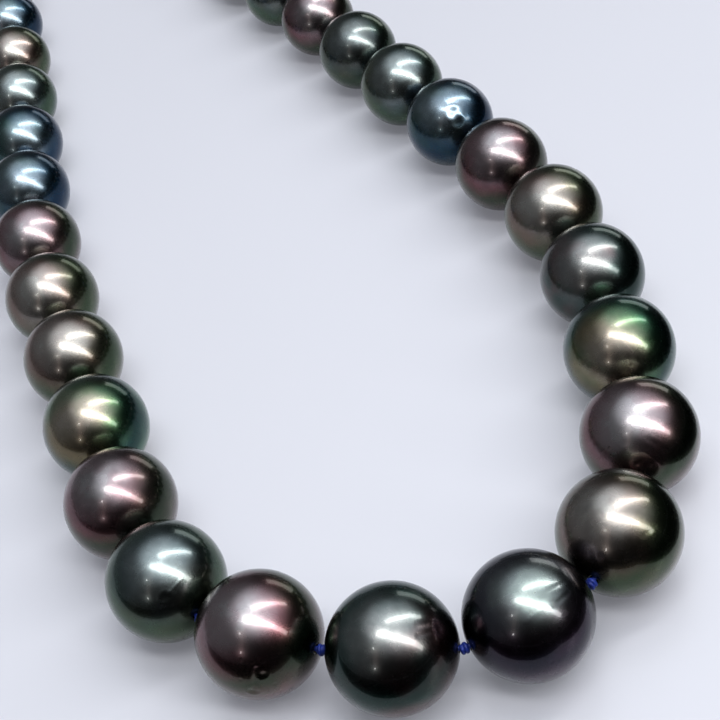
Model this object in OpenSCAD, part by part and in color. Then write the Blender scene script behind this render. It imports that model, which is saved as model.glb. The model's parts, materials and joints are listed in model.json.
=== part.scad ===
// A strand of dark graduated pearls, knotted on silk, laid out as a long loop with its clasp undone.
// +Z is up and the pearls stand on z = 0. The front pearl is at low Y and the clasp is at high Y.
// The origin is under the middle of the whole strand's box.
// Pearls are counted outwards from the front pearl, which is the largest, on the right (+X) and
// left (-X) halves. Inside the file they also have one running index, 0 at the left end.

/* [Pearls] */
// Diameter of the front pearl
front_pearl_d = 13; // [12:0.1:14]
// Diameter of the last pearl of the right half
right_end_d = 8.6; // [8:0.1:9.4]
// Diameter of the last pearl of the left half
left_end_d = 7.8; // [7.8:0.1:9.4]
// How long the pearls stay large before they get smaller
taper_power = 1.15; // [1:0.05:1.3]
// Diameter of the hole drilled through each pearl
drill_d = 0.9; // [0.8:0.05:1]

/* [Silk] */
// Space between two pearls, which one silk knot fills
knot_gap = 1; // [0.9:0.05:1.2]
// Diameter of a tied knot
knot_d = 0.84; // [0.7:0.02:0.84]
// Diameter of the silk where it runs through a pearl
silk_d = 0.6; // [0.4:0.05:0.6]

/* [Rings] */
// Radius of the wire-covered silk loop, to the middle of its wire
gimp_r = 1.5; // [1.4:0.05:1.7]
// Thickness of that loop
gimp_wire_d = 0.7; // [0.6:0.05:0.7]
// Radius of a jump ring, to the middle of its wire
ring_r = 1.5; // [1.5:0.05:1.6]
// Thickness of a jump ring
ring_wire_d = 0.6; // [0.5:0.05:0.6]

/* [End tag] */
// Diameter of the hole that the claw snaps into
tag_hole_d = 3.2; // [3:0.1:3.4]
// Width of the metal round that hole
tag_rim = 1; // [0.8:0.1:1.1]
// Thickness of the tag
tag_t = 0.7; // [0.6:0.05:0.8]
// Distance between the tag's two holes
tag_pitch = 4.6; // [4.4:0.1:5]

/* [Lobster claw] */
// Thickness of the claw's frame
claw_t = 2.4; // [2.3:0.05:2.6]
// Radius of the claw's round head
claw_head_r = 3.2; // [3.1:0.05:3.4]
// Thickness of the lever, which lies in the middle of the frame
lever_t = 1.2; // [1:0.05:1.25]

/* [Hidden] */
$fn = 48;
side_pearls = 18;
last = 2 * side_pearls;

// The direction, in degrees from +X, in which each half leaves the front pearl, pearl by pearl.
front_heading = -18;
right_headings = [15, 51, 79, 87, 88, 104, 109, 110, 111, 110, 111, 114, 112, 106, 98, 90, 84, 80];
left_headings = [145, 115, 99, 98, 100, 99, 95, 92, 91, 91, 93, 94, 98, 102, 105, 106, 104, 100];

// The overtone of each pearl, for its colour.
front_tone = "green";
right_tones = ["black", "bronze", "aubergine", "peacock", "green", "aubergine", "aubergine", "blue", "grey",
    "grey", "aubergine", "grey", "green", "peacock", "aubergine", "grey", "green", "blue"];
left_tones = ["aubergine", "grey", "aubergine", "peacock", "bronze", "aubergine", "bronze", "blue", "blue",
    "grey", "bronze", "blue", "aubergine", "green", "peacock", "grey", "aubergine", "green"];
tone_colors = [["black", "#2e3433"], ["green", "#46544d"], ["grey", "#5f6668"], ["blue", "#55707a"],
    ["peacock", "#6f7a52"], ["bronze", "#75695a"], ["aubergine", "#6d4f60"]];

// ---- The clasp's layout, along the heading of each end: X outwards, Z up, from the end knot ----

slack = 0.1;            // play between a ring and the loop it hangs in
ring_link = ring_r - ring_wire_d / 2 - gimp_wire_d / 2 - slack;
link_tilt = 25;         // direction from the loop's far wire to the jump ring's middle, below level
stem_length = 1.4;      // how far the loop's two ends reach into the last pearl

tag_tilt = 10;          // the tag leans down to the ground
tag_end_r = tag_hole_d / 2 + tag_rim;
tag_eye_r = 0.7;
tag_eye_rim = 0.6;
tag_z = tag_t / 2 * cos(tag_tilt) + (tag_pitch + tag_end_r) * sin(tag_tilt);

claw_tilt = 3;
claw_head_x = 8.2;      // from the eye to the middle of the round head
claw_nose_x = claw_head_x + claw_head_r;
claw_neck_x = 1.9;
claw_neck_r = 1.3;
claw_eye_r = 0.8;
claw_eye_rim = 0.7;
claw_eye_t = 1.2;
claw_z = claw_t / 2 * cos(claw_tilt) + claw_nose_x * sin(claw_tilt);

// Heights and reaches of the two chains: the loop droops until the jump ring is at its height.
function link_z(z, tilt) = z + ring_r * sin(tilt) + ring_link * sin(link_tilt);
function droop(end_z, z, tilt) = asin((end_z - link_z(z, tilt)) / (2 * gimp_r));
left_droop = droop(left_end_d / 2, claw_z, claw_tilt);
right_droop = droop(right_end_d / 2, tag_z, tag_tilt);
function link_x(droop) = 2 * gimp_r * cos(droop);
function ring_x(droop) = link_x(droop) + ring_link * cos(link_tilt);
claw_hole_x = ring_x(left_droop) + ring_r * cos(claw_tilt);
tag_hole_x = ring_x(right_droop) + ring_r * cos(tag_tilt);
claw_head_y = claw_hole_x + claw_head_x * cos(claw_tilt);
tag_head_y = tag_hole_x + tag_pitch * cos(tag_tilt);

// The lever's pivot and tip and the thumb tab, in the claw's own plane from its eye.
lever_pivot = [3.9, 0.9];
lever_tip = [9.2, 2.5];
lever_tab = [5, 2.6];
lever_root_r = 0.75;
lever_tip_r = 0.5;
lever_tab_r = 0.45;
pin_r = 0.35;
pin_play = 0.04;
pin_head_sink = 0.1;

// ---- The strand's layout ----

function half_index(i) = abs(i - side_pearls);
function is_left(i) = i < side_pearls;
function end_d(i) = is_left(i) ? left_end_d : right_end_d;
function size_at(i) =
    front_pearl_d - (front_pearl_d - end_d(i)) * pow(half_index(i) / side_pearls, taper_power);

// Heading of pearl i's hole, from the left end of the strand to the right end.
function heading_at(i) =
    half_index(i) == 0 ? front_heading :
    is_left(i) ? left_headings[half_index(i) - 1] + 180 : right_headings[half_index(i) - 1];
function heading_vector(a) = [cos(a), sin(a)];
function step_at(i) = (pearl_sizes[i] + knot_gap) * heading_vector(heading_at(i));

pearl_sizes = [for (i = [0 : last]) size_at(i)];

// Knot i lies before pearl i and knot i + 1 after it. The first pass starts from [0, 0].
loose_knots = [for (i = 0, at = [0, 0]; i <= last + 1; at = i <= last ? at + step_at(i) : at, i = i + 1) at];
loose_centres = [for (i = [0 : last]) (loose_knots[i] + loose_knots[i + 1]) / 2];

// The round ends of the claw and the tag are the furthest pieces in Y.
left_out = left_headings[side_pearls - 1];
right_out = right_headings[side_pearls - 1];
low_x = min([for (i = [0 : last]) loose_centres[i].x - pearl_sizes[i] / 2]);
high_x = max([for (i = [0 : last]) loose_centres[i].x + pearl_sizes[i] / 2]);
low_y = min([for (i = [0 : last]) loose_centres[i].y - pearl_sizes[i] / 2]);
left_top = loose_knots[0].y + claw_head_y * sin(left_out) + claw_head_r;
right_top = loose_knots[last + 1].y + tag_head_y * sin(right_out) + tag_end_r;
shift = -[(low_x + high_x) / 2, (low_y + max(left_top, right_top)) / 2];

centres = [for (i = [0 : last]) concat(loose_centres[i] + shift, pearl_sizes[i] / 2)];

// A knot is as high as the middle between its two pearls, and the end knots as their own pearl.
function knot_z(i) =
    (pearl_sizes[max(i - 1, 0)] + pearl_sizes[min(i, last)]) / 4;
knots = [for (i = [0 : last + 1]) concat(loose_knots[i] + shift, knot_z(i))];

function pearl_name(i) =
    half_index(i) == 0 ? "pearl_front" : str(is_left(i) ? "pearl_left_" : "pearl_right_", half_index(i));
function tone_at(i) =
    half_index(i) == 0 ? front_tone :
    is_left(i) ? left_tones[half_index(i) - 1] : right_tones[half_index(i) - 1];
function tone_color(tone) = [for (entry = tone_colors) if (entry[0] == tone) entry[1]][0];

// ---- Shared shapes ----

// Turns and moves a shape that stands on +Z so that it runs from one point towards another.
module from_to(start, end) {
    way = end - start;
    translate(start)
        rotate([0, acos(way.z / norm(way)), atan2(way.y, way.x)])
            children();
}

module wire_ring(radius, thickness) {
    rotate_extrude() translate([radius, 0]) circle(d = thickness);
}

// Two discs and the straight sides that touch both, from a at [0, 0] to b.
module tapered_link(a_r, b, b_r, thickness) {
    length = norm(b);
    lean = asin((a_r - b_r) / length);
    side = [sin(lean), cos(lean)];
    rotate([0, 0, atan2(b.y, b.x)]) {
        cylinder(r = a_r, h = thickness, center = true);
        translate([length, 0, 0]) cylinder(r = b_r, h = thickness, center = true);
        linear_extrude(thickness, center = true)
            polygon([a_r * side, [length, 0] + b_r * side,
                [length, 0] + [b_r * side.x, -b_r * side.y], [a_r * side.x, -a_r * side.y]]);
    }
}

// X outwards along an end of the strand, from under its end knot.
module at_left_end() {
    translate([knots[0].x, knots[0].y, 0]) rotate([0, 0, left_out]) children();
}

module at_right_end() {
    translate([knots[last + 1].x, knots[last + 1].y, 0]) rotate([0, 0, right_out]) children();
}

// The claw's and the tag's own planes, from the middle of the eye that the jump ring goes through.
module in_claw() {
    at_left_end() translate([claw_hole_x, 0, claw_z]) rotate([0, claw_tilt, 0]) children();
}

module in_tag() {
    at_right_end() translate([tag_hole_x, 0, tag_z]) rotate([0, tag_tilt, 0]) children();
}

// ---- Pearls and silk ----

module pearl(i) {
    spare = 1;
    color(tone_color(tone_at(i)))
        difference() {
            translate(centres[i]) sphere(d = pearl_sizes[i]);
            from_to(knots[i], knots[i + 1])
                translate([0, 0, -spare])
                    cylinder(d = drill_d, h = norm(knots[i + 1] - knots[i]) + 2 * spare);
        }
}

// The silk in pearl i. In the two end pearls it stops before the ends of the wire-covered loop.
module silk_in(i) {
    span = norm(knots[i + 1] - knots[i]);
    start = i == 0 ? stem_length + slack : 0;
    end = i == last ? span - stem_length - slack : span;
    from_to(knots[i], knots[i + 1])
        translate([0, 0, start]) cylinder(d = silk_d, h = end - start);
}

module silk_thread() {
    $fn = 10;
    color("steelblue") {
        for (i = [0 : last]) silk_in(i);
        for (i = [1 : last]) translate(knots[i]) sphere(d = knot_d);
    }
}

// ---- Loops and rings ----

// A loop of silk in fine coiled wire: both its ends go into the last pearl.
module gimp(end_z, droop) {
    color("lightsteelblue")
        translate([0, 0, end_z]) {
            rotate([0, droop, 0]) translate([gimp_r, 0, 0]) wire_ring(gimp_r, gimp_wire_d);
            rotate([0, -90, 0]) cylinder(d = gimp_wire_d, h = stem_length);
        }
}

module gimp_left() { at_left_end() gimp(left_end_d / 2, left_droop); }

module gimp_right() { at_right_end() gimp(right_end_d / 2, right_droop); }

module jump_ring(x, z) {
    color("silver") translate([x, 0, z]) rotate([90, 0, 0]) wire_ring(ring_r, ring_wire_d);
}

module claw_ring() { at_left_end() jump_ring(ring_x(left_droop), claw_z + ring_r * sin(claw_tilt)); }

module tag_ring() { at_right_end() jump_ring(ring_x(right_droop), tag_z + ring_r * sin(tag_tilt)); }

module end_tag() {
    color("gainsboro")
        in_tag()
            difference() {
                tapered_link(tag_eye_r + tag_eye_rim, [tag_pitch, 0], tag_end_r, tag_t);
                cylinder(r = tag_eye_r, h = 3 * tag_t, center = true);
                translate([tag_pitch, 0, 0]) cylinder(d = tag_hole_d, h = 3 * tag_t, center = true);
            }
}

// ---- Lobster claw ----

slot_t = lever_t + 0.1;

// The space inside the hook.
module hook_opening() {
    inner_end = [6.3, -0.1];
    inner_r = 0.9;
    to_outer_end = [2.1, 0.1];
    outer_r = 1.9;
    translate([each inner_end, 0]) tapered_link(inner_r, to_outer_end, outer_r, 2 * claw_t);
}

// The lever's side of the hook is open, and the frame is slotted where the lever turns.
module lever_room() {
    open_side = [[5.3, 0.4], [9.2, 0.4], [9.8, 4.2], [5.3, 4.2]];
    slot = [[2.9, -1], [5.1, -1], [9.6, 0.2], [10.1, 2], [10.1, 4.2], [2.9, 4.2]];
    linear_extrude(2 * claw_t, center = true) polygon(open_side);
    linear_extrude(slot_t, center = true) polygon(slot);
}

module claw_frame() {
    color("silver")
        in_claw()
            difference() {
                union() {
                    translate([claw_neck_x, 0, 0])
                        tapered_link(claw_neck_r, [claw_head_x - claw_neck_x, 0], claw_head_r, claw_t);
                    cylinder(r = claw_eye_r + claw_eye_rim, h = claw_eye_t, center = true);
                }
                cylinder(r = claw_eye_r, h = 2 * claw_t, center = true);
                hook_opening();
                lever_room();
                translate(lever_pivot) cylinder(r = pin_r, h = 2 * claw_t, center = true);
            }
}

module claw_lever() {
    color("gainsboro")
        in_claw()
            translate(lever_pivot)
                difference() {
                    union() {
                        tapered_link(lever_root_r, lever_tip - lever_pivot, lever_tip_r, lever_t);
                        tapered_link(lever_root_r, lever_tab - lever_pivot, lever_tab_r, lever_t);
                    }
                    cylinder(r = pin_r + pin_play, h = 2 * lever_t, center = true);
                }
}

module lever_pin() {
    color("darkgray")
        in_claw()
            translate(lever_pivot) cylinder(r = pin_r, h = claw_t - 2 * pin_head_sink, center = true);
}

// A bowed wire in the frame's pocket, under the lever.
module lever_spring() {
    bow_r = 1.15;
    wire_r = 0.15;
    bow_angle = 130;
    bow_middle = [3.95, 0.35];
    color("dimgray")
        in_claw()
            translate([each bow_middle, 0])
                rotate([0, 0, -90 - bow_angle / 2])
                    rotate_extrude(angle = bow_angle) translate([bow_r, 0]) circle(r = wire_r);
}

for (i = [0 : last]) pearl(i);
silk_thread();
gimp_left();
gimp_right();
claw_ring();
claw_frame();
claw_lever();
lever_pin();
lever_spring();
tag_ring();
end_tag();
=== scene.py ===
"""A knotted strand of dark graduated pearls on blue silk, with a lobster claw and an end tag."""

import json
import logging
import math
import random
from dataclasses import dataclass, field
from enum import Enum

import bmesh
import bpy
import numpy as np
from mathutils import Matrix, Vector


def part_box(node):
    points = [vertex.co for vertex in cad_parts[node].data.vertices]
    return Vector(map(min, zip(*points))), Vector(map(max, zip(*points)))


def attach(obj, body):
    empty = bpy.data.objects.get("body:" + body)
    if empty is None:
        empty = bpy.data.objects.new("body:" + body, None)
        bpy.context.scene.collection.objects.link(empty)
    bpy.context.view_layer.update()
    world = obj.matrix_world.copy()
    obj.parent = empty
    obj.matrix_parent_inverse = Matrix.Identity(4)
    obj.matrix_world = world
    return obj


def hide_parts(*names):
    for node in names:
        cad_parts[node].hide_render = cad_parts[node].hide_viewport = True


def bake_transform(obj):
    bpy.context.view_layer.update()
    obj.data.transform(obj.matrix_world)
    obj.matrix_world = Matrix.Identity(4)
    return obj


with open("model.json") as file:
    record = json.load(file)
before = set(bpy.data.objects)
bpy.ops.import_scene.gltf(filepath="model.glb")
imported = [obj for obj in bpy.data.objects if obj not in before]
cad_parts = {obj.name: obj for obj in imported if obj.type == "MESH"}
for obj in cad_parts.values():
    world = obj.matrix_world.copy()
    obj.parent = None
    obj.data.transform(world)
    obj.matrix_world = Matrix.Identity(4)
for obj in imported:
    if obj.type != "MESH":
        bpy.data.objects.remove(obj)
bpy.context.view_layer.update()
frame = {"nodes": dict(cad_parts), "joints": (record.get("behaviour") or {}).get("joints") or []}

log = logging.getLogger("necklace")
logging.basicConfig(level=logging.INFO, format="%(name)s: %(message)s")

MM = 0.001
Colour = tuple[float, float, float]
Place = tuple[float, float]
SIDE_PEARLS = 18


class Half(Enum):
    """The two halves of the strand, on either side of the front pearl."""

    LEFT = "left"
    RIGHT = "right"


class Overtone(Enum):
    """The colour that a dark pearl shows over its body colour."""

    BLACK = "black"
    GREEN = "green"
    GREY = "grey"
    BLUE = "blue"
    PEACOCK = "peacock"
    BRONZE = "bronze"
    AUBERGINE = "aubergine"


class Mark(Enum):
    """A growth mark on a pearl's skin."""

    PIT = "pit"
    RIDGE = "ridge"
    CREASE = "crease"


# ---------------------------------------------------------------- materials


class Nodes:
    """A node tree, with short ways to add its nodes."""

    def __init__(self, owner: bpy.types.Material | bpy.types.World) -> None:
        """Starts a node tree.

        Args:
            owner: The material or the world that it is for.
        """
        owner.use_nodes = True
        self.tree = owner.node_tree

    def add(self, kind: str, inputs: dict | None = None, **settings: object) -> bpy.types.Node:
        """Adds a node.

        Args:
            kind: The node's type, without its ShaderNode prefix.
            inputs: Values or sockets for its inputs, by name or number.
            settings: The node's own properties.

        Returns:
            The new node.
        """
        node = self.tree.nodes.new("ShaderNode" + kind)
        for key, value in settings.items():
            setattr(node, key, value)
        for key, value in (inputs or {}).items():
            if isinstance(value, bpy.types.NodeSocket):
                self.tree.links.new(value, node.inputs[key])
            else:
                node.inputs[key].default_value = value
        return node

    def maths(self, operation: str, a: object, b: object, c: object = 0.5) -> bpy.types.NodeSocket:
        """One sum.

        Args:
            operation: The sum's name.
            a: The first value or socket.
            b: The second value or socket.
            c: The third value or socket, where the sum has one.

        Returns:
            The socket of its result.
        """
        return self.add("Math", {0: a, 1: b, 2: c}, operation=operation).outputs[0]

    def lean(self, way: object, towards: object) -> bpy.types.NodeSocket:
        """How far a direction leans to another, from -1 to 1.

        Args:
            way: The direction, or its socket.
            towards: The other direction.

        Returns:
            The socket of the share.
        """
        return self.add("VectorMath", {0: way, 1: tuple(towards)}, operation="DOT_PRODUCT").outputs["Value"]

    def blend(self, factor: object, a: object, b: object, kind: str = "MIX") -> bpy.types.NodeSocket:
        """Mixes two colours.

        Args:
            factor: How much of the second colour.
            a: The first colour or socket.
            b: The second colour or socket.
            kind: How they mix.

        Returns:
            The socket of the mixed colour.
        """
        pair = {0: factor, 6: opaque(a), 7: opaque(b)}
        return self.add("Mix", pair, data_type="RGBA", blend_type=kind).outputs[2]

    def ramp(self, factor: bpy.types.NodeSocket, stops: list[tuple[float, Colour]]) -> bpy.types.NodeSocket:
        """Turns a value into a colour.

        Args:
            factor: The value, from 0 to 1.
            stops: Places from 0 to 1, each with its colour.

        Returns:
            The socket of the colour.
        """
        node = self.add("ValToRGB", {0: factor})
        node.color_ramp.interpolation = "B_SPLINE"
        points = node.color_ramp.elements
        while len(points) < len(stops):
            points.new(0.5)
        for point, (place, colour) in zip(points, stops):
            point.position = place
            point.color = opaque(colour)
        return node.outputs[0]


class Shader(Nodes):
    """A material with its surface."""

    def __init__(self, name: str) -> None:
        """Starts a plain material.

        Args:
            name: The material's name.
        """
        self.material = bpy.data.materials.new(name)
        super().__init__(self.material)
        self.surface = self.tree.nodes["Principled BSDF"]
        self.output = self.tree.nodes["Material Output"]

    def join(self, socket: bpy.types.NodeSocket, name: str) -> None:
        """Links a socket to one of the surface's inputs.

        Args:
            socket: Where the value comes from.
            name: The surface's input.
        """
        self.tree.links.new(socket, self.surface.inputs[name])

    def fix(self, values: dict[str, object]) -> None:
        """Sets the surface's own inputs.

        Args:
            values: The values by input name.
        """
        for name, value in values.items():
            self.surface.inputs[name].default_value = value


def opaque(colour: object) -> object:
    """Gives a colour full alpha.

    Args:
        colour: The colour, or a socket, which is passed on as it is.

    Returns:
        The colour with its alpha, or the socket.
    """
    if isinstance(colour, tuple) and len(colour) == 3:
        return (*colour, 1.0)
    return colour


@dataclass(frozen=True)
class Facing:
    """A pearl's own directions: to the right, up and out, as it is looked at in the main view."""

    middle: Vector
    radius: float
    across: Vector
    up: Vector
    out: Vector

    def matrix(self) -> Matrix:
        """The turn from these directions to the frame's axes.

        Returns:
            The turn as a 3x3 matrix.
        """
        return Matrix((self.across, self.up, self.out)).transposed()

    def direction(self, place: Place) -> np.ndarray:
        """The unit vector, in these directions, of a place on the seen side.

        Args:
            place: Right and up from the middle, as shares of the radius.

        Returns:
            The direction from the pearl's middle.
        """
        flat = place[0] ** 2 + place[1] ** 2
        return np.array((place[0], place[1], math.sqrt(max(1 - flat, 0.0))))


@dataclass(frozen=True)
class Growth:
    """One growth mark: what it is, where, how wide, how deep, how long and how it lies."""

    kind: Mark
    place: Place
    width: float
    depth: float
    length: float = 0.0
    lie: float = 0.0

    def height(self, spots: np.ndarray, facing: Facing) -> np.ndarray:
        """How far the mark lifts the skin at each spot.

        Args:
            spots: Unit vectors in the pearl's own directions, one a row.
            facing: The pearl's directions.

        Returns:
            Heights as shares of the radius, below 0 for a hollow.
        """
        middle = facing.direction(self.place)
        across = np.cross((0.0, 1.0, 0.0), middle)
        across /= np.linalg.norm(across)
        upward = np.cross(middle, across)
        angle = math.radians(self.lie)
        along = math.cos(angle) * across + math.sin(angle) * upward
        off = spots - middle
        run = off @ along
        past = np.maximum(np.abs(run) - self.length / 2, 0.0)
        aside = np.sqrt(np.maximum((off ** 2).sum(1) - run ** 2, 0.0))
        away = np.hypot(past, aside) / self.width
        bowl = np.exp(-away ** 2)
        if self.kind is Mark.RIDGE:
            return self.depth * bowl
        lip_at, lip_width = 1.9, 0.6
        lip_height = 0.3 if self.kind is Mark.PIT else 0.15
        lip = np.exp(-((away - lip_at) / lip_width) ** 2)
        return self.depth * (lip_height * lip - bowl)


@dataclass(frozen=True)
class Look:
    """How one pearl looks: overtone, lightness, where the overtone's eye, which carries the painted
    highlight glow, and its tinge lie, and marks.
    """

    tone: Overtone
    light: float = 1.0
    # The eye is the place where the pearl's highlight falls in the main view, for its painted highlight
    # glow.
    eye: Place = (-0.2, 0.2)
    tinge: Place = (-0.7, 0.0)
    marks: tuple[Growth, ...] = ()


@dataclass(frozen=True)
class NacreFinish:
    """Polished dark nacre: a soft metallic lustre with an overtone under a hard, clear skin, with a painted
    highlight glow and painted shade in its colour.
    """

    # eye is the light colour of the painted highlight glow; ring, rim and body darken away from it as
    # painted shade, in the overtone's hues; blush is a tinge that takes the ring's place on one side.
    eye: Colour
    ring: Colour
    rim: Colour
    body: Colour
    blush: Colour
    lustre_roughness: float = 0.27
    skin_weight: float = 0.65
    skin_roughness: float = 0.05
    skin_ior: float = 1.50
    saturation: float = 1.2

    def overtone(self, shader: Shader, local: bpy.types.NodeSocket, shifted: bpy.types.NodeSocket,
                 facing: Facing, look: Look) -> bpy.types.NodeSocket:
        """Colours the pearl in soft rings round its overtone's eye, with a tinge to one side.

        The rings carry the overtone's hues. They are lightest at the eye, which sits where the main view's
        highlight falls, as a painted highlight glow, and they darken towards the rim as painted shade.

        Args:
            shader: The material.
            local: The socket of the place on the pearl, in its own directions.
            shifted: The socket of the pearl's own stretch of the noise.
            facing: The pearl's directions.
            look: Where the overtone's eye, with its painted highlight glow, and its tinge lie.

        Returns:
            The socket of the colour.
        """
        cloud = shader.add("TexNoise", {"Vector": shifted, "Scale": 1.6, "Detail": 3.0, "Roughness": 0.55})
        towards = shader.lean(local, facing.direction(look.eye))
        # The colour is lightest at its eye, as a painted highlight glow, darkens around it as painted shade
        # and comes back on the far side; its hues are the overtone.
        away = shader.maths("MULTIPLY_ADD", towards, -0.50, 0.58)
        stirred = shader.maths("MULTIPLY_ADD", cloud.outputs["Fac"], 0.36, -0.18)
        painted_glow_band = shader.maths("ADD", shader.maths("MAXIMUM", towards, away), stirred)
        share = shader.maths("MULTIPLY_ADD", painted_glow_band, 0.5, 0.5)
        dark, bright = (0.40, self.body), (0.985, self.eye)
        main = shader.ramp(share, [dark, (0.72, self.rim), (0.88, self.ring), bright])
        other = shader.ramp(share, [dark, (0.68, self.rim), (0.86, self.blush), bright])
        broad = {"Vector": shifted, "Scale": 1.1, "Detail": 2.0, "W": 4.0}
        patch = shader.add("TexNoise", broad, noise_dimensions="4D")
        tinged = shader.maths(
            "MULTIPLY_ADD", shader.lean(local, facing.direction(look.tinge)), 0.28, patch.outputs["Fac"])
        warm = shader.ramp(tinged, [(0.60, (0.0, 0.0, 0.0)), (0.78, (0.9, 0.9, 0.9))])
        both = shader.blend(warm, main, other)
        return shader.add("HueSaturation", {"Saturation": self.saturation, "Color": both}).outputs[0]

    def material(self, name: str, facing: Facing, look: Look, seed: int) -> bpy.types.Material:
        """Builds the material for one pearl.

        Args:
            name: The material's name.
            facing: The pearl's middle, radius and directions.
            look: Where the overtone's eye, with its painted highlight glow, and its tinge lie, and how light
                the pearl is.
            seed: Which stretch of the noise it uses.

        Returns:
            The material.
        """
        shader = Shader(name)
        coords = shader.add("TexCoord").outputs["Object"]
        turn = facing.matrix().to_euler("XYZ")
        local = shader.add(
            "Mapping",
            {"Vector": coords, "Location": facing.middle, "Rotation": turn, "Scale": (facing.radius,) * 3},
            vector_type="TEXTURE",
        ).outputs[0]
        away_from_others = (seed * 3.7, seed * 1.3, 0.0)
        shifted = shader.add("Mapping", {"Vector": local, "Location": away_from_others}).outputs[0]
        colour = self.overtone(shader, local, shifted, facing, look)
        fine = shader.add("TexNoise", {"Vector": shifted, "Scale": 5.0, "Detail": 2.5, "Roughness": 0.5})
        dim, light = (0.82 * look.light,) * 3, (1.12 * look.light,) * 3
        shade = shader.ramp(fine.outputs["Fac"], [(0.3, dim), (0.7, light)])
        shader.join(shader.blend(1.0, colour, shade, "MULTIPLY"), "Base Color")
        rough = shader.maths("MULTIPLY_ADD", fine.outputs["Fac"], 0.06, self.lustre_roughness - 0.03)
        shader.join(rough, "Roughness")
        skin = shader.add("TexNoise", {"Vector": shifted, "Scale": 4.0, "Detail": 1.5, "Roughness": 0.4})
        relief = shader.add(
            "Bump", {"Height": skin.outputs["Fac"], "Strength": 0.03, "Distance": facing.radius * 0.06}
        )
        shader.join(relief.outputs[0], "Normal")
        shader.join(relief.outputs[0], "Coat Normal")
        shader.fix({
            "Metallic": 1.0,
            "Coat Weight": self.skin_weight,
            "Coat Roughness": self.skin_roughness,
            "Coat IOR": self.skin_ior,
        })
        return shader.material


@dataclass(frozen=True)
class SilkFinish:
    """Twisted silk: fine fibres that catch the light along the strand."""

    colour: Colour
    light: Colour

    def material(self, name: str) -> bpy.types.Material:
        """Builds the material, which is shared by all the silk.

        Args:
            name: The material's name.

        Returns:
            The material.
        """
        shader = Shader(name)
        coords = shader.add("TexCoord").outputs["Object"]
        fibres = shader.add("TexNoise", {"Vector": coords, "Scale": 9000.0, "Detail": 4.0, "Roughness": 0.7})
        patch = shader.add("TexNoise", {"Vector": coords, "Scale": 1600.0, "Detail": 2.0})
        both = shader.maths("MULTIPLY", fibres.outputs["Fac"], patch.outputs["Fac"])
        shader.join(shader.ramp(both, [(0.12, self.colour), (0.40, self.light)]), "Base Color")
        relief = shader.add("Bump", {"Height": fibres.outputs["Fac"], "Strength": 0.6, "Distance": 0.00004})
        shader.join(relief.outputs[0], "Normal")
        shader.fix({"Roughness": 0.42, "Sheen Weight": 0.2, "Sheen Roughness": 0.35})
        shader.fix({"Sheen Tint": (0.35, 0.45, 1.0, 1.0)})
        return shader.material


@dataclass(frozen=True)
class MetalFinish:
    """Polished metal with hairline scratches, worn a little duller in patches."""

    colour: Colour
    roughness: float
    scratch: float

    def material(self, name: str) -> bpy.types.Material:
        """Builds the material.

        Args:
            name: The material's name.

        Returns:
            The material.
        """
        shader = Shader(name)
        coords = shader.add("TexCoord").outputs["Object"]
        wear = shader.add("TexNoise", {"Vector": coords, "Scale": 700.0, "Detail": 4.0, "Roughness": 0.6})
        drawn = {"Vector": coords, "Scale": (1.0, 14.0, 5.0), "Rotation": (0.0, 0.0, 0.5)}
        long = shader.add("Mapping", drawn)
        lines = shader.add("TexNoise", {"Vector": long.outputs[0], "Scale": 900.0, "Detail": 6.0})
        dull = tuple(0.82 * c for c in self.colour)
        shader.join(shader.ramp(wear.outputs["Fac"], [(0.35, dull), (0.6, self.colour)]), "Base Color")
        rough = shader.maths("MULTIPLY_ADD", wear.outputs["Fac"], 0.18, self.roughness - 0.05)
        shader.join(rough, "Roughness")
        relief = shader.add(
            "Bump", {"Height": lines.outputs["Fac"], "Strength": self.scratch, "Distance": 0.00002}
        )
        shader.join(relief.outputs[0], "Normal")
        shader.fix({"Metallic": 1.0})
        return shader.material


# Each overtone's eye colour is the light of a painted highlight glow; its ring, rim and body darken away
# from it as painted shade, in the overtone's hues.
NACRE = {
    Overtone.BLACK: NacreFinish(
        eye=(0.23, 0.26, 0.25), ring=(0.055, 0.058, 0.078),
        rim=(0.018, 0.020, 0.032), body=(0.008, 0.010, 0.012), blush=(0.09, 0.045, 0.075)),
    Overtone.GREEN: NacreFinish(
        eye=(0.27, 0.275, 0.27), ring=(0.042, 0.088, 0.084),
        rim=(0.009, 0.036, 0.027), body=(0.005, 0.014, 0.012), blush=(0.16, 0.045, 0.055)),
    Overtone.GREY: NacreFinish(
        eye=(0.28, 0.31, 0.31), ring=(0.085, 0.118, 0.130),
        rim=(0.070, 0.120, 0.070), body=(0.020, 0.025, 0.020), blush=(0.11, 0.10, 0.07)),
    Overtone.BLUE: NacreFinish(
        eye=(0.27, 0.31, 0.34), ring=(0.034, 0.070, 0.112),
        rim=(0.012, 0.036, 0.078), body=(0.005, 0.012, 0.024), blush=(0.035, 0.09, 0.060)),
    Overtone.PEACOCK: NacreFinish(
        eye=(0.36, 0.33, 0.29), ring=(0.065, 0.160, 0.080),
        rim=(0.020, 0.060, 0.068), body=(0.006, 0.016, 0.018), blush=(0.22, 0.16, 0.09)),
    Overtone.BRONZE: NacreFinish(
        eye=(0.38, 0.37, 0.35), ring=(0.140, 0.124, 0.102),
        rim=(0.055, 0.098, 0.055), body=(0.018, 0.024, 0.014), blush=(0.19, 0.10, 0.09)),
    Overtone.AUBERGINE: NacreFinish(
        eye=(0.34, 0.325, 0.33), ring=(0.195, 0.127, 0.140),
        rim=(0.040, 0.080, 0.045), body=(0.012, 0.022, 0.013), blush=(0.19, 0.060, 0.082)),
}
SILK = SilkFinish((0.004, 0.008, 0.08), (0.02, 0.055, 0.34))
WHITE_METAL = MetalFinish((0.86, 0.86, 0.84), 0.12, 0.08)
DRAWN_STEEL = MetalFinish((0.62, 0.62, 0.62), 0.30, 0.25)
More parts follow.
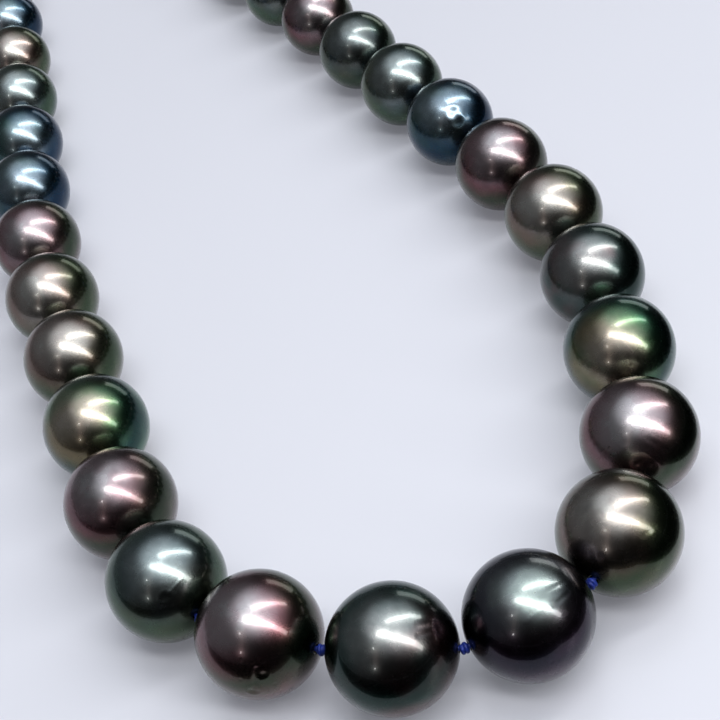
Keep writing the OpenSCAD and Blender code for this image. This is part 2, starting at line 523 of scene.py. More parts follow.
GIMP_WIRE = MetalFinish((0.74, 0.75, 0.77), 0.22, 0.2)


# ---------------------------------------------------------------- mesh tools


def place_mesh(name: str, bm: bmesh.types.BMesh, material: bpy.types.Material) -> bpy.types.Object:
    """Makes a smooth-shaded piece of a bmesh whose points are already in place.

    Args:
        name: The piece's name.
        bm: The bmesh, which is freed.
        material: The piece's material.

    Returns:
        The new object.
    """
    mesh = bpy.data.meshes.new(name)
    bm.to_mesh(mesh)
    bm.free()
    mesh.shade_smooth()
    mesh.materials.append(material)
    piece = bpy.data.objects.new(name, mesh)
    bpy.context.scene.collection.objects.link(piece)
    return piece


def axes_along(way: Vector, beside: Vector = Vector((0.0, 0.0, 1.0))) -> Matrix:
    """A turn whose X runs along a direction and whose Z is as near as can be to another.

    Args:
        way: The direction of X.
        beside: The direction that Z leans to.

    Returns:
        The turn as a 3x3 matrix.
    """
    x = way.normalized()
    y = beside.cross(x).normalized()
    return Matrix((x, y, x.cross(y))).transposed()


def placed(middle: Vector, turn: Matrix) -> Matrix:
    """A turn about the origin and then a move.

    Args:
        middle: Where the origin goes.
        turn: The turn as a 3x3 matrix.

    Returns:
        Both as a 4x4 matrix.
    """
    return Matrix.Translation(middle) @ turn.to_4x4()


def wire(name: str, points: list[Vector], thickness: float, material: bpy.types.Material,
         closed: bool = False, sides: int = 3) -> bpy.types.Object:
    """Makes a round wire or thread along a smooth path, as a mesh.

    Args:
        name: The piece's name.
        points: The path's points.
        thickness: The wire's diameter.
        material: The wire's material.
        closed: Whether the path's end joins its start.
        sides: How finely the wire is rounded, in quarters of its outline.

    Returns:
        The new object.
    """
    curve = bpy.data.curves.new(name + "_path", "CURVE")
    curve.dimensions = "3D"
    curve.bevel_depth = thickness / 2
    curve.bevel_resolution = sides
    curve.use_fill_caps = not closed
    line = curve.splines.new("POLY")
    line.points.add(len(points) - 1)
    for spot, point in zip(line.points, points):
        spot.co = (*point, 1.0)
    line.use_cyclic_u = closed
    holder = bpy.data.objects.new(name + "_path", curve)
    bpy.context.scene.collection.objects.link(holder)
    graph = bpy.context.evaluated_depsgraph_get()
    mesh = bpy.data.meshes.new_from_object(holder.evaluated_get(graph))
    bpy.data.objects.remove(holder)
    bpy.data.curves.remove(curve)
    mesh.name = name
    mesh.materials.clear()
    mesh.materials.append(material)
    mesh.shade_smooth()
    piece = bpy.data.objects.new(name, mesh)
    bpy.context.scene.collection.objects.link(piece)
    return piece


# ---------------------------------------------------------------- pearls and knots


@dataclass
class Pearl:
    """One drilled pearl: its node, its looks and how closely it is seen."""

    node: str
    look: Look
    seed: int
    close: bool = False
    drill: float = 0.9 * MM
    mouth_wear: float = 0.06 * MM
    off_round: float = 0.012
    off_floor: float = 0.01 * MM
    middle: Vector = field(default_factory=Vector)
    radius: float = 0.0
    bore: Vector = field(default_factory=Vector)

    def measure(self, before: Vector | None, after: Vector | None) -> None:
        """Takes the pearl's size and place from its CAD node.

        Args:
            before: The knot before it, if it has one.
            after: The knot after it, if it has one.
        """
        low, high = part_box(self.node)
        self.middle = (low + high) / 2
        self.radius = (high.z - low.z) / 2
        start = before or 2 * self.middle - after
        end = after or 2 * self.middle - before
        self.bore = (end - start).normalized()

    def facing(self, eye: Vector, right: Vector) -> Facing:
        """The pearl's own directions for its patterns and marks.

        Args:
            eye: Where it is looked at from in the main view.
            right: The main view's direction to the right.

        Returns:
            The directions.
        """
        out = (eye - self.middle).normalized()
        across = (right - right.dot(out) * out).normalized()
        return Facing(self.middle, self.radius, across, out.cross(across), out)

    def skin(self, spots: np.ndarray, facing: Facing) -> np.ndarray:
        """How far the skin stands off the true sphere.

        Args:
            spots: Unit vectors in the pearl's own directions, one a row.
            facing: Those directions.

        Returns:
            Heights as shares of the radius.
        """
        draw = random.Random(self.seed)
        height = np.zeros(len(spots))
        for power, share in ((2, 0.5), (3, 0.35), (5, 0.15)):
            axis = np.array([draw.uniform(-1, 1) for _ in range(3)])
            axis /= np.linalg.norm(axis)
            height -= self.off_round * share * draw.uniform(0.4, 1.0) * np.abs(spots @ axis) ** power
        for growth in self.look.marks:
            height += growth.height(spots, facing)
        far_side = (1, 1, -1)
        for _ in range(draw.randint(2, 5)):
            spot = (draw.uniform(-0.9, 0.9), draw.uniform(-0.9, 0.9))
            size = draw.uniform(0.02, 0.045)
            hidden = Growth(Mark.PIT, spot, size, size * draw.uniform(0.06, 0.14))
            height += hidden.height(spots * far_side, facing)
        for _ in range(draw.randint(1, 4)):
            spot = (draw.uniform(-0.6, 0.6), draw.uniform(-0.8, -0.2))
            size = draw.uniform(0.016, 0.030)
            height += Growth(Mark.PIT, spot, size, size * 0.16).height(spots, facing)
        return height

    def mesh(self) -> bmesh.types.BMesh:
        """Turns the drilled pearl about its hole.

        Returns:
            The true sphere's mesh, in place.
        """
        arc_steps, turn_steps = (168, 240) if self.close else (84, 120)
        hole = self.drill / 2
        edge = hole + self.mouth_wear
        first = math.asin(edge / self.radius)
        outline = []
        for i in range(arc_steps + 1):
            angle = first + (math.pi - 2 * first) * i / arc_steps
            outline.append((self.radius * math.sin(angle), self.radius * math.cos(angle)))
        depth = math.sqrt(self.radius ** 2 - edge ** 2) - self.mouth_wear
        bore_steps = 10
        inner = [(hole, depth * (1 - 2 * i / bore_steps)) for i in range(bore_steps + 1)]
        bm = bmesh.new()
        points = [bm.verts.new((x, 0.0, z)) for x, z in [*outline, *reversed(inner)]]
        lines = [bm.edges.new(pair) for pair in zip(points, points[1:] + points[:1])]
        bmesh.ops.spin(bm, geom=points + lines, cent=(0, 0, 0), axis=(0, 0, 1), dvec=(0, 0, 0),
                       angle=math.tau, steps=turn_steps, use_merge=True)
        bmesh.ops.remove_doubles(bm, verts=bm.verts, dist=1e-8)
        bmesh.ops.recalc_face_normals(bm, faces=bm.faces)
        lift = self.bore.to_track_quat("Z", "Y").to_matrix()
        bmesh.ops.transform(bm, matrix=placed(self.middle, lift), verts=bm.verts)
        return bm

    def grow(self, mesh: bpy.types.Mesh, facing: Facing) -> None:
        """Grows the pearl's skin: a little off-round, with its marks.

        Args:
            mesh: The true sphere's mesh, in place.
            facing: The pearl's own directions.
        """
        flat = np.empty(3 * len(mesh.vertices))
        mesh.vertices.foreach_get("co", flat)
        rays = flat.reshape(-1, 3) - np.array(self.middle)
        own = (rays / np.linalg.norm(rays, axis=1, keepdims=True)) @ np.array(facing.matrix())
        spots = np.array(self.middle) + rays * (1 + self.skin(own, facing))[:, None]
        spots[:, 2] = np.maximum(spots[:, 2], self.off_floor)
        mesh.vertices.foreach_set("co", spots.ravel())
        mesh.update()

    def build(self, eye: Vector, right: Vector) -> bpy.types.Object:
        """Makes the pearl.

        Args:
            eye: Where it is looked at from in the main view.
            right: The main view's direction to the right.

        Returns:
            The finished piece.
        """
        facing = self.facing(eye, right)
        look = self.look
        material = NACRE[look.tone].material("nacre_" + self.node, facing, look, self.seed)
        piece = place_mesh(self.node + "_skin", self.mesh(), material)
        self.grow(piece.data, facing)
        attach(piece, self.node)
        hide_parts(self.node)
        return piece


@dataclass
class SilkKnot:
    """A tied knot between two pearls, with the silk up to the middle of each."""

    name: str
    parent: str
    child: str
    knot: Vector
    start: Vector
    end: Vector
    thread_d: float = 0.56 * MM
    strand_d: float = 0.46 * MM
    wrap_r: float = 0.40 * MM
    half_length: float = 0.27 * MM
    turns: float = 2.0
    lump_r: float = 0.36 * MM
    lump_gap: float = 0.28 * MM
    bend_reach: float = 0.4 * MM

    def path(self) -> list[Vector]:
        """The silk's way: in along one hole, round itself in a tight knot, and out along the other.

        Returns:
            The way's points.
        """
        into = (self.knot - self.start).normalized()
        out = (self.end - self.knot).normalized()
        turn = axes_along(into + out)
        clear = 0.75 * MM
        steps = 44
        points = [self.start + (self.knot - clear * into - self.start) * t for t in (0.0, 0.5, 0.9, 1.0)]
        for i in range(steps + 1):
            t = i / steps
            angle = math.tau * self.turns * t
            swell = math.sin(math.pi * t) ** 0.35
            x = self.half_length * math.cos(math.pi * (1 - t))
            ring = Vector((x, self.wrap_r * swell * math.cos(angle), self.wrap_r * swell * math.sin(angle)))
            points.append(self.knot + turn @ ring)
        far = self.knot + clear * out
        points += [far + (self.end - far) * t for t in (0.0, 0.1, 0.5, 1.0)]
        return points

    def build(self, material: bpy.types.Material) -> bpy.types.Object:
        """Makes the knot and its thread as one piece.

        Args:
            material: The silk.

        Returns:
            The finished piece.
        """
        wrap = wire(self.name, self.path(), self.strand_d, material, sides=2)
        core = wire(self.name + "_core", [self.start, self.knot, self.end], self.thread_d, material, sides=2)
        bm = bmesh.new()
        bm.from_mesh(wrap.data)
        bm.from_mesh(core.data)
        into = (self.knot - self.start).normalized()
        out = (self.end - self.knot).normalized()
        for side in (-0.5, 0.5):
            lump = bmesh.ops.create_icosphere(bm, subdivisions=3, radius=self.lump_r)["verts"]
            bmesh.ops.scale(bm, vec=(1.0, 1.35, 1.35), verts=lump)
            spot = self.knot + side * self.lump_gap * (out + into).normalized()
            bmesh.ops.transform(bm, matrix=placed(spot, axes_along(into + out)), verts=lump)
        bm.to_mesh(wrap.data)
        bm.free()
        wrap.data.shade_smooth()
        bpy.data.objects.remove(core)
        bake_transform(wrap)
        return wrap


# ---------------------------------------------------------------- each pearl's looks


def mark(kind: Mark, x: float, y: float, width: float, depth: float, length: float = 0.0,
          lie: float = 0.0) -> Growth:
    """Writes a growth mark in short form, with its sizes as shares of the pearl's radius.

    Args:
        kind: What the mark is.
        x: How far it is to the right of the pearl's middle.
        y: How far it is above the middle.
        width: How wide it is.
        depth: How deep or high it is.
        length: How long it is.
        lie: How it lies, in degrees from level.

    Returns:
        The mark.
    """
    return Growth(kind, (x, y), width, depth, length, lie)


PIT, RIDGE, CREASE = Mark.PIT, Mark.RIDGE, Mark.CREASE
BLACK, GREEN, GREY, BLUE = Overtone.BLACK, Overtone.GREEN, Overtone.GREY, Overtone.BLUE
PEACOCK, BRONZE, AUBERGINE = Overtone.PEACOCK, Overtone.BRONZE, Overtone.AUBERGINE

# Each look's eye is the place where that pearl's highlight falls in the main view, so the painted highlight
# glow lies there.
FRONT_LOOK = Look(GREEN, 1.0, (-0.15, 0.25), (0.75, -0.5), (
    mark(CREASE, 0.50, 0.36, 0.040, 0.0050, 0.34, 8), mark(CREASE, 0.48, 0.22, 0.035, 0.0040, 0.26, 14),
    mark(PIT, 0.68, 0.28, 0.080, 0.0090)))
# From the front pearl outwards.
RIGHT_LOOKS = (
    Look(BLACK, 1.0, (0.05, 0.35), (0.6, -0.6), (
        mark(CREASE, 0.36, 0.40, 0.030, 0.0034, 0.50, 26), mark(CREASE, 0.48, 0.24, 0.030, 0.0034, 0.34, 34),
        mark(RIDGE, 0.05, -0.02, 0.030, 0.0012, 0.24, 38))),
    Look(BRONZE, 1.0, (-0.35, 0.25), (-0.5, 0.1), (
        mark(CREASE, 0.45, 0.02, 0.035, 0.0016, 0.26, 35), mark(PIT, -0.28, -0.36, 0.05, 0.0030))),
    Look(AUBERGINE, 1.25, (-0.25, 0.25), (-0.7, 0.0), (
        mark(CREASE, 0.30, -0.16, 0.04, 0.0020, 0.40, -30), mark(PIT, 0.08, -0.50, 0.10, 0.0200, 0.16, -40),
        mark(PIT, -0.05, -0.46, 0.030, 0.0030))),
    Look(PEACOCK, 1.0, (-0.1, -0.05), (-0.6, -0.35)),
    Look(GREEN, 1.1),
    Look(BRONZE, 1.15, (-0.25, 0.15), (-0.7, 0.1), (mark(PIT, -0.40, -0.40, 0.04, 0.0040),)),
    Look(AUBERGINE, 0.9, (-0.15, 0.25), (-0.5, -0.1), (mark(PIT, 0.32, -0.32, 0.07, 0.0110),)),
    Look(BLUE, 1.0, (-0.2, 0.3), (-0.7, 0.3), (
        mark(PIT, 0.08, 0.22, 0.10, 0.020), mark(PIT, 0.16, 0.02, 0.09, 0.018),
        mark(RIDGE, 0.18, 0.14, 0.05, 0.006, 0.2, 70))),
    Look(GREY, 0.9, (-0.1, 0.2)),
    Look(GREY, 0.7),
    Look(AUBERGINE, 0.9),
    Look(GREY, 1.0),
    Look(GREEN, 1.0),
    Look(PEACOCK, 1.0),
    Look(AUBERGINE, 1.0),
    Look(GREY, 1.0),
    Look(GREEN, 1.0),
    Look(BLUE, 1.0),
)
LEFT_LOOKS = (
    Look(AUBERGINE, 1.3, (-0.40, 0.30), (-0.6, -0.1), (
        mark(CREASE, -0.05, -0.66, 0.045, 0.0200, 0.36, 84), mark(PIT, 0.05, -0.60, 0.05, 0.0120),
        mark(PIT, -0.08, -0.84, 0.06, 0.0160))),
    Look(GREY, 0.9, (-0.1, 0.2), (0.2, -0.8), (
        mark(RIDGE, 0.14, -0.08, 0.024, 0.0036, 0.34, 48), mark(PIT, -0.01, -0.26, 0.055, 0.0075))),
    Look(AUBERGINE, 0.9, (-0.4, 0.35)),
    Look(PEACOCK, 1.1, (-0.35, 0.15), (-0.7, -0.1)),
    Look(BRONZE, 1.1, (-0.3, 0.3)),
    Look(BRONZE, 1.3, (-0.35, 0.1)),
    Look(AUBERGINE, 1.2, (-0.3, 0.2)),
    Look(BLUE, 1.0, (-0.2, 0.3)),
    Look(BLUE, 3.2, (0.0, 0.1)),
    Look(GREY, 1.0),
    Look(BRONZE, 1.2),
    Look(BLUE, 1.0),
    Look(AUBERGINE, 1.0),
    Look(GREEN, 1.0),
    Look(PEACOCK, 1.0),
    Look(GREY, 1.0),
    Look(AUBERGINE, 1.0),
    Look(GREEN, 1.0),
)


# ---------------------------------------------------------------- the whole strand


@dataclass
class Strand:
    """The 37 pearls on their knotted silk."""

    close_pearls: int = 4
    end_silk: float = 1.65
    pearls: list[Pearl] = field(default_factory=list)

    @staticmethod
    def knot_joints(half: Half) -> list[dict]:
        """The frame's knot joints of one half.

        Args:
            half: Which half.

        Returns:
            The joints' records, outwards from the front pearl.
        """
        start = f"knot_{half.value}_"
        found = [j for j in frame["joints"] if j["name"].startswith(start)]
        return sorted(found, key=lambda j: int(j["name"].split("_")[2]))

    def build(self, eye: Vector, right: Vector) -> None:
        """Makes every pearl and every knot.

        Args:
            eye: Where the pearls are looked at from in the main view.
            right: The main view's direction to the right.
        """
        silk = SILK.material("blue_silk")
        knots = {half: [Vector(j["pos_m"]) for j in self.knot_joints(half)] for half in Half}
        front = Pearl("pearl_front", FRONT_LOOK, 1, True)
        front.measure(knots[Half.LEFT][0], knots[Half.RIGHT][0])
        self.pearls.append(front)
        for half, looks in ((Half.RIGHT, RIGHT_LOOKS), (Half.LEFT, LEFT_LOOKS)):
            for i, look in enumerate(looks):
                seed = 10 + i + (40 if half is Half.LEFT else 0)
                pearl = Pearl(f"pearl_{half.value}_{i + 1}", look, seed, i < self.close_pearls)
                pearl.measure(knots[half][i], knots[half][i + 1] if i + 1 < len(looks) else None)
                self.pearls.append(pearl)
        for pearl in self.pearls:
            pearl.build(eye, right)
            log.info("%s, %.1f mm, %s", pearl.node, 2 * pearl.radius / MM, pearl.look.tone.value)
        self.tie(silk, knots)

    def tie(self, silk: bpy.types.Material, knots: dict[Half, list[Vector]]) -> None:
        """Makes the silk: each piece runs from the middle of one pearl to the middle of the next.

        Args:
            silk: The silk's material.
            knots: Each half's knots, outwards.
        """
        middle = {pearl.node: pearl.middle for pearl in self.pearls}
        whole = None
        for half, points in knots.items():
            inner = "pearl_front"
            for i, knot in enumerate(points):
                outer = f"pearl_{half.value}_{i + 1}"
                end = middle[outer]
                if i == len(points) - 1:
                    end = knot + self.end_silk * (middle[outer] - knot)
                tied = SilkKnot(f"silk_{half.value}_{i + 1}", inner, outer, knot, middle[inner], end)
                piece = tied.build(silk)
                whole = whole or piece
                inner = outer
        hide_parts("silk_thread")
        log.info("silk with %d knots", sum(len(points) for points in knots.values()))


# ---------------------------------------------------------------- the clasp


def joint(name: str) -> dict:
    """One of the frame's joints.

    Args:
        name: Its name.

    Returns:
        The joint's record.
    """
    return next(j for j in frame["joints"] if j["name"] == name)


def cad_copy(node: str) -> bmesh.types.BMesh:
    """A merged copy of a CAD node's mesh, with its flat faces made whole.

    Args:
        node: The node's name.

    Returns:
        The copy.
    """
    same_spot = 0.001 * MM
    flat = math.radians(1.0)
    bm = bmesh.new()
    bm.from_mesh(frame["nodes"][node].data)
    bmesh.ops.remove_doubles(bm, verts=bm.verts, dist=same_spot)
    bmesh.ops.dissolve_limit(bm, angle_limit=flat, verts=bm.verts, edges=bm.edges)
    return bm


def soften(bm: bmesh.types.BMesh, width: float, sharp: float = 35.0) -> None:
    """Rounds a shape's sharp edges.

    Args:
        bm: The shape.
        width: How far from each edge the round reaches.
        sharp: The least turn between two faces, in degrees, that counts as an edge.
    """
    limit = math.radians(sharp)
    edges = [e for e in bm.edges if len(e.link_faces) == 2 and e.calc_face_angle(0.0) > limit]
    bmesh.ops.bevel(bm, geom=edges, offset=width, offset_type="OFFSET", segments=4, profile=0.5,
                    affect="EDGES", clamp_overlap=True, material=-1)


@dataclass
class CastPiece:
    """A small cast or stamped metal piece, which is its CAD shape with rounded edges."""

    node: str
    body: str
    slot: str
    round_over: float
    crease: float = math.radians(50)

    def build(self, material: bpy.types.Material) -> bpy.types.Object:
        """Makes the piece.

        Args:
            material: Its metal.

        Returns:
            The finished piece.
        """
        bm = cad_copy(self.node)
        soften(bm, self.round_over)
        piece = place_mesh(self.node + "_cast", bm, material)
        piece.data.set_sharp_from_angle(angle=self.crease)
        flat = piece.modifiers.new("flat_faces", "WEIGHTED_NORMAL")
        flat.weight = 100
        flat.keep_sharp = True
        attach(piece, self.body)
        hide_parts(self.node)
        return piece


@dataclass
class Clasp:
    """Gimps, jump rings, lobster claw and end tag."""

    coil_wire: float = 0.13 * MM
    gimp_thickness: float = 0.68 * MM
    coil_pitch: float = 0.15 * MM
    points_per_coil: int = 10
    # The gimp's ends: how deep they go in, how far each is off the middle, where they turn in from
    # the loop, the half angle that the loop leaves open, and how far it stands off the last pearl.
    gimp_lead: float = 1.2 * MM
    gimp_neck: float = 0.17 * MM
    gimp_turn_in: float = 0.3 * MM
    gimp_opening: float = math.radians(24)
    mouth_gap: float = 0.5 * MM
    ring_thickness: float = 0.6 * MM
    # The jump ring's seam, as an angle along the ring and how wide it gapes.
    seam_at: float = 0.9
    seam: float = 0.02

    @staticmethod
    def ring_frame(node: str) -> tuple[Vector, Vector, float]:
        """How a ring lies.

        Args:
            node: The ring's CAD node.

        Returns:
            Its middle, the direction of its axis and its outer radius.
        """
        mesh = frame["nodes"][node].data
        spots = np.array([v.co for v in mesh.vertices])
        middle = (spots.max(0) + spots.min(0)) / 2
        flat = np.linalg.svd(spots - spots.mean(0), full_matrices=False)[2][2]
        return Vector(middle), Vector(flat), float(np.linalg.norm(spots - middle, axis=1).max())

    def jump_ring(self, node: str, body: str, material: bpy.types.Material) -> bpy.types.Object:
        """Makes a jump ring with the hairline joint where it was closed.

        Args:
            node: Its CAD node.
            body: The body it rides on.
            material: Its metal.

        Returns:
            The finished piece.
        """
        middle, flat, outer = self.ring_frame(node)
        major = outer - self.ring_thickness / 2
        side = flat.cross(Vector((0.0, 0.0, 1.0))).normalized()
        up = side.cross(flat).normalized()
        points = []
        steps = 72
        for i in range(steps + 1):
            angle = self.seam_at + self.seam / 2 + (math.tau - self.seam) * i / steps
            points.append(middle + major * (math.cos(angle) * side + math.sin(angle) * up))
        piece = wire(node + "_wire", points, self.ring_thickness, material, sides=5)
        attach(piece, body)
        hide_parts(node)
        return piece

    def gimp(self, half: Half, mouth: Vector, outward: Vector, material: bpy.types.Material,
             silk: bpy.types.Material) -> bpy.types.Object:
        """Makes a loop of fine coiled wire that leaves the last pearl's hole and goes back into it.

        Args:
            half: Which end of the strand.
            mouth: The end knot's place, just outside the last pearl.
            outward: The level direction out of the strand's end.
            material: The coil's metal.
            silk: The silk inside the coil.

        Returns:
            The coil's piece.
        """
        link = Vector(joint("claw_ring_lift" if half is Half.LEFT else "tag_ring_lift")["pos_m"])
        body = f"pearl_{half.value}_{SIDE_PEARLS}"
        way = (link - mouth).normalized()
        turn = axes_along(way)
        loop_r = (link - mouth).length / 2
        steps = 96
        loop = []
        for i in range(steps + 1):
            angle = math.pi - self.gimp_opening - (math.tau - 2 * self.gimp_opening) * i / steps
            x = loop_r * (1 + math.cos(angle))
            y = loop_r * math.sin(angle)
            loop.append(mouth + turn @ Vector((x, y, 0.0)))
        apart = self.gimp_neck * (turn @ Vector((0.0, 1.0, 0.0)))
        inside = mouth - self.gimp_lead * outward
        turn_in = mouth - self.gimp_turn_in * outward
        path = [inside + apart, turn_in + apart, *loop, turn_in - apart, inside - apart]
        smooth = self.resample(path, 0.1 * MM)
        coil = self.coil(smooth)
        piece = wire(f"gimp_{half.value}_coil", coil, self.coil_wire, material, sides=1)
        core = self.gimp_thickness - 2 * self.coil_wire
        thread = wire(f"gimp_{half.value}_silk", smooth, core, silk, sides=1)
        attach(piece, body)
        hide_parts(f"gimp_{half.value}")
        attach(thread, body)
        return piece

    @staticmethod
    def resample(path: list[Vector], step: float) -> list[Vector]:
        """Points spaced evenly along a path.

        Args:
            path: The path's corners.
            step: The spacing.

        Returns:
            The new points.
        """
        spots = np.array(path)
        along = np.concatenate([[0], np.cumsum(np.linalg.norm(np.diff(spots, axis=0), axis=1))])
        even = np.linspace(0, along[-1], int(along[-1] / step) + 1)
        return [Vector((np.interp(t, along, spots[:, k]) for k in range(3))) for t in even]

    def coil(self, path: list[Vector]) -> list[Vector]:
        """A tight coil round a path.

        Args:
            path: The path, with even spacing.

        Returns:
            The coil's points.
        """
        spots = np.array(path)
        length = float(np.linalg.norm(np.diff(spots, axis=0), axis=1).sum())
        turns = length / self.coil_pitch
        steps = int(turns * self.points_per_coil)
        radius = (self.gimp_thickness - self.coil_wire) / 2
        at = np.linspace(0, len(spots) - 1, steps + 1)
        points = []
        for i, t in enumerate(at):
            k = min(int(t), len(spots) - 2)
            here = spots[k] + (spots[k + 1] - spots[k]) * (t - k)
            turn = axes_along(Vector(spots[k + 1] - spots[k]))
            angle = math.tau * turns * i / steps
            ring = Vector((0, radius * math.cos(angle), radius * math.sin(angle)))
            points.append(Vector(here) + turn @ ring)
        return points

    def build(self) -> None:
        """Makes every piece of the clasp."""
        white = WHITE_METAL.material("white_metal")
        steel = DRAWN_STEEL.material("drawn_steel")
        gimp_wire = GIMP_WIRE.material("gimp_wire")
        silk = bpy.data.materials["blue_silk"]
        for piece in (
            CastPiece("claw_frame", "claw", "white_metal", 0.32 * MM),
            CastPiece("claw_lever", "lever", "white_metal", 0.16 * MM),
            CastPiece("end_tag", "end_tag", "white_metal", 0.16 * MM),
        ):
            piece.build(white)
        CastPiece("lever_pin", "claw", "steel", 0.06 * MM).build(steel)
        spring = frame["nodes"]["lever_spring"]
        spring.data.materials.clear()
        spring.data.materials.append(steel)
        self.jump_ring("claw_ring", "claw_ring", white)
        self.jump_ring("tag_ring", "tag_ring", white)
        for half in Half:
            last = f"pearl_{half.value}_{SIDE_PEARLS}"
            low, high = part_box(last)
            middle, radius = (low + high) / 2, (high.z - low.z) / 2
            knot = Vector(Strand.knot_joints(half)[-1]["pos_m"])
            outward = (middle - knot).normalized()
            outward.z = 0.0
            outward.normalize()
            mouth = middle + (radius + self.mouth_gap) * outward
            self.gimp(half, mouth, outward, gimp_wire, silk)
        log.info("clasp")


# ---------------------------------------------------------------- the studio


@dataclass
class Strip:
    """A long lamp, from one end to the other."""

    name: str
    start: tuple[float, float, float]
    end: tuple[float, float, float]
    width: float
    glow: float
    colour: Colour = (1.0, 0.99, 0.97)

    def build(self, target: Vector) -> None:
        """Hangs the lamp, facing a point.

        Args:
            target: The point it faces.
        """
        start, end = Vector(self.start), Vector(self.end)
        lamp = bpy.data.lights.new(self.name, "AREA")
        lamp.shape = "RECTANGLE"
        lamp.size = (end - start).length
        lamp.size_y = self.width
        lamp.color = self.colour
        lamp.energy = self.glow * math.pi * lamp.size * lamp.size_y
        holder = bpy.data.objects.new(self.name, lamp)
        middle = (start + end) / 2
        turn = axes_along(end - start, middle - target)
        holder.matrix_world = placed(middle, turn)
        bpy.context.scene.collection.objects.link(holder)


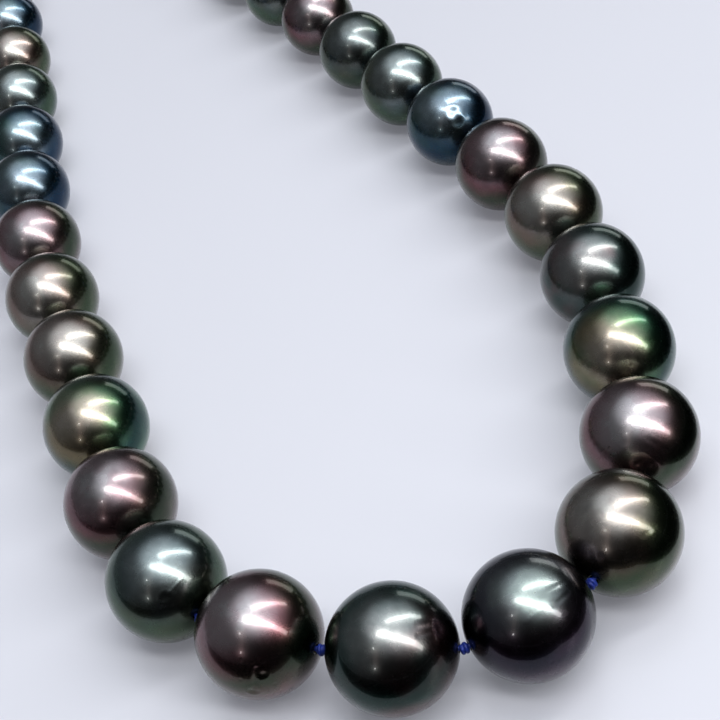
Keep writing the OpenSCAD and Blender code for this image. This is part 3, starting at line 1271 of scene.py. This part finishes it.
@dataclass
class Studio:
    """Camera, lamps, black cards for a painted dark reflection, dim room and pale floor."""

    eye: Vector = field(default_factory=lambda: Vector((0.01177, -0.21155, 0.14105)))
    lens: float = 89.3
    pitch: float = 42.19
    roll: float = 15.58
    yaw: float = 0.58
    target: Vector = field(default_factory=lambda: Vector((0.0, -0.02, 0.0)))
    glow_way: Vector = field(default_factory=lambda: Vector((0.25, 0.05, 0.97)))
    glow: float = 1.7
    left_way: Vector = field(default_factory=lambda: Vector((-0.80, 0.35, 0.50)))
    left_glow: float = 0.28
    dim: float = 0.010
    seen_glow: float = 0.80
    room_tint: Colour = (0.90, 0.94, 1.0)
    gamma: float = 0.8
    right: Vector = field(default_factory=Vector)

    def camera(self) -> None:
        """Sets up the main view."""
        pitch, roll, yaw = (math.radians(a) for a in (self.pitch, self.roll, self.yaw))
        ahead = Vector((0.0, math.cos(pitch), -math.sin(pitch)))
        level = Vector((1.0, 0.0, 0.0))
        down = ahead.cross(level)
        turn = Matrix.Rotation(yaw, 3, "Z")
        across = turn @ (level * math.cos(roll) + down * math.sin(roll))
        below = turn @ (down * math.cos(roll) - level * math.sin(roll))
        ahead = turn @ ahead
        self.right = across
        lens = bpy.data.cameras.new("main_view")
        lens.lens = self.lens
        lens.sensor_width = 36.0
        lens.clip_start = 0.01
        holder = bpy.data.objects.new("main_view", lens)
        axes = Matrix((across, -below, -ahead)).transposed()
        holder.matrix_world = placed(self.eye, axes)
        bpy.context.scene.collection.objects.link(holder)
        bpy.context.scene.camera = holder

    def lamps(self) -> None:
        """Hangs the two long lamps, a soft panel, a faint streak and three small lamps."""
        warm = (1.0, 0.80, 0.74)
        for strip in (
            Strip("upper_strip", (0.026, 0.005, 0.920), (1.076, 0.261, 0.637), 0.120, 8.0),
            Strip("lower_strip", (-0.263, -0.199, 0.915), (0.949, -0.724, 0.398), 0.150, 8.0),
            Strip("back_panel", (0.31, 0.75, 0.32), (0.72, 0.60, 0.09), 0.20, 2.0),
            Strip("left_streak", (-0.254, -0.418, 0.920), (-0.551, -0.870, 0.337), 0.12, 0.35, warm),
            Strip("left_spot", (-0.441, -0.543, 0.778), (-0.491, -0.543, 0.778), 0.06, 15.0),
            Strip("low_left_spot", (-0.531, -0.870, 0.337), (-0.581, -0.870, 0.337), 0.06, 15.0),
            Strip("floor_spot", (0.49, -0.53, 0.75), (0.54, -0.53, 0.75), 0.05, 25.0),
        ):
            strip.build(self.target)

    def dark_reflection_cards(self) -> None:
        """Lays two black cards on the floor, before the strand and to its right, for the pearls to mirror as
        a painted dark reflection.

        They are clear from below, so that the floor's own sheen passes through them.
        """
        shader = Shader("painted_dark_reflection")
        shader.fix({"Base Color": (0.002, 0.002, 0.003, 1.0), "Roughness": 1.0, "Specular IOR Level": 0.0})
        seen_from_below = shader.add("NewGeometry").outputs["Backfacing"]
        clear = shader.add("BsdfTransparent").outputs[0]
        one_sided = shader.add("MixShader", {0: seen_from_below, 1: shader.surface.outputs[0], 2: clear})
        shader.tree.links.new(one_sided.outputs[0], shader.output.inputs["Surface"])
        for name, corner, angle, size in (
            ("front_card", Vector((-0.45, 0.027, 0.0002)), -18.0, (1.4, 0.9)),
            ("right_card", Vector((0.036, -0.131, 0.0003)), 71.7, (1.0, 0.9)),
        ):
            bm = bmesh.new()
            bmesh.ops.create_grid(bm, x_segments=1, y_segments=1, size=0.5)
            bmesh.ops.translate(bm, vec=(0.5, -0.5, 0.0), verts=bm.verts)
            bmesh.ops.scale(bm, vec=(*size, 1.0), verts=bm.verts)
            turn = Matrix.Rotation(math.radians(angle), 3, "Z")
            bmesh.ops.rotate(bm, cent=(0, 0, 0), matrix=turn, verts=bm.verts)
            bmesh.ops.translate(bm, vec=corner, verts=bm.verts)
            card = place_mesh(name, bm, shader.material)
            # The camera, diffuse light and shadows do not see the cards, so they are only a painted dark
            # reflection in the pearls.
            card.visible_camera = card.visible_diffuse = card.visible_shadow = False

    def room(self) -> None:
        """A dim room, lighter on the left and with a soft glow overhead, that the camera sees as pale."""
        world = bpy.data.worlds.new("room")
        nodes = Nodes(world)
        way = nodes.add("TexCoord").outputs["Generated"]
        left = {"Value": nodes.lean(way, self.left_way.normalized()), "From Min": -0.1, "From Max": 1.0,
                "To Min": self.dim, "To Max": self.left_glow}
        spread = nodes.add("MapRange", left, interpolation_type="SMOOTHSTEP").outputs[0]
        overhead = {"Value": nodes.lean(way, self.glow_way.normalized()), "From Min": 0.53, "From Max": 0.97}
        falloff = nodes.add("MapRange", overhead, interpolation_type="SMOOTHSTEP").outputs[0]
        total = nodes.maths("MULTIPLY_ADD", falloff, self.glow, spread)
        seen = nodes.add("LightPath").outputs["Is Camera Ray"]
        strength = nodes.add("Mix", {0: seen, 2: total, 3: self.seen_glow}).outputs[0]
        back = nodes.tree.nodes["Background"]
        nodes.tree.links.new(strength, back.inputs["Strength"])
        back.inputs["Color"].default_value = opaque(self.room_tint)
        bpy.context.scene.world = world

    def floor(self) -> None:
        """A pale, slightly glossy floor."""
        shader = Shader("pale_floor")
        coords = shader.add("TexCoord").outputs["Object"]
        cloud = shader.add("TexNoise", {"Vector": coords, "Scale": 7.0, "Detail": 3.0})
        tint = shader.ramp(cloud.outputs["Fac"], [(0.3, (0.40, 0.405, 0.435)), (0.7, (0.42, 0.425, 0.455))])
        shader.join(tint, "Base Color")
        shader.fix({"Roughness": 0.28, "IOR": 1.49})
        shader.fix({"Emission Color": (0.90, 0.91, 1.0, 1.0), "Emission Strength": 0.20})
        bm = bmesh.new()
        bmesh.ops.create_grid(bm, x_segments=1, y_segments=1, size=3.0)
        place_mesh("floor", bm, shader.material)

    def build(self) -> None:
        """Sets everything up."""
        self.camera()
        self.lamps()
        self.room()
        self.floor()
        self.dark_reflection_cards()
        settings = bpy.context.scene.view_settings
        settings.view_transform = "Standard"
        settings.gamma = self.gamma


def main() -> None:
    """Builds the studio, the strand and the clasp."""
    studio = Studio()
    studio.build()
    Strand().build(studio.eye, studio.right)
    Clasp().build()
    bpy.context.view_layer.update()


if __name__ == "__main__":
    main()
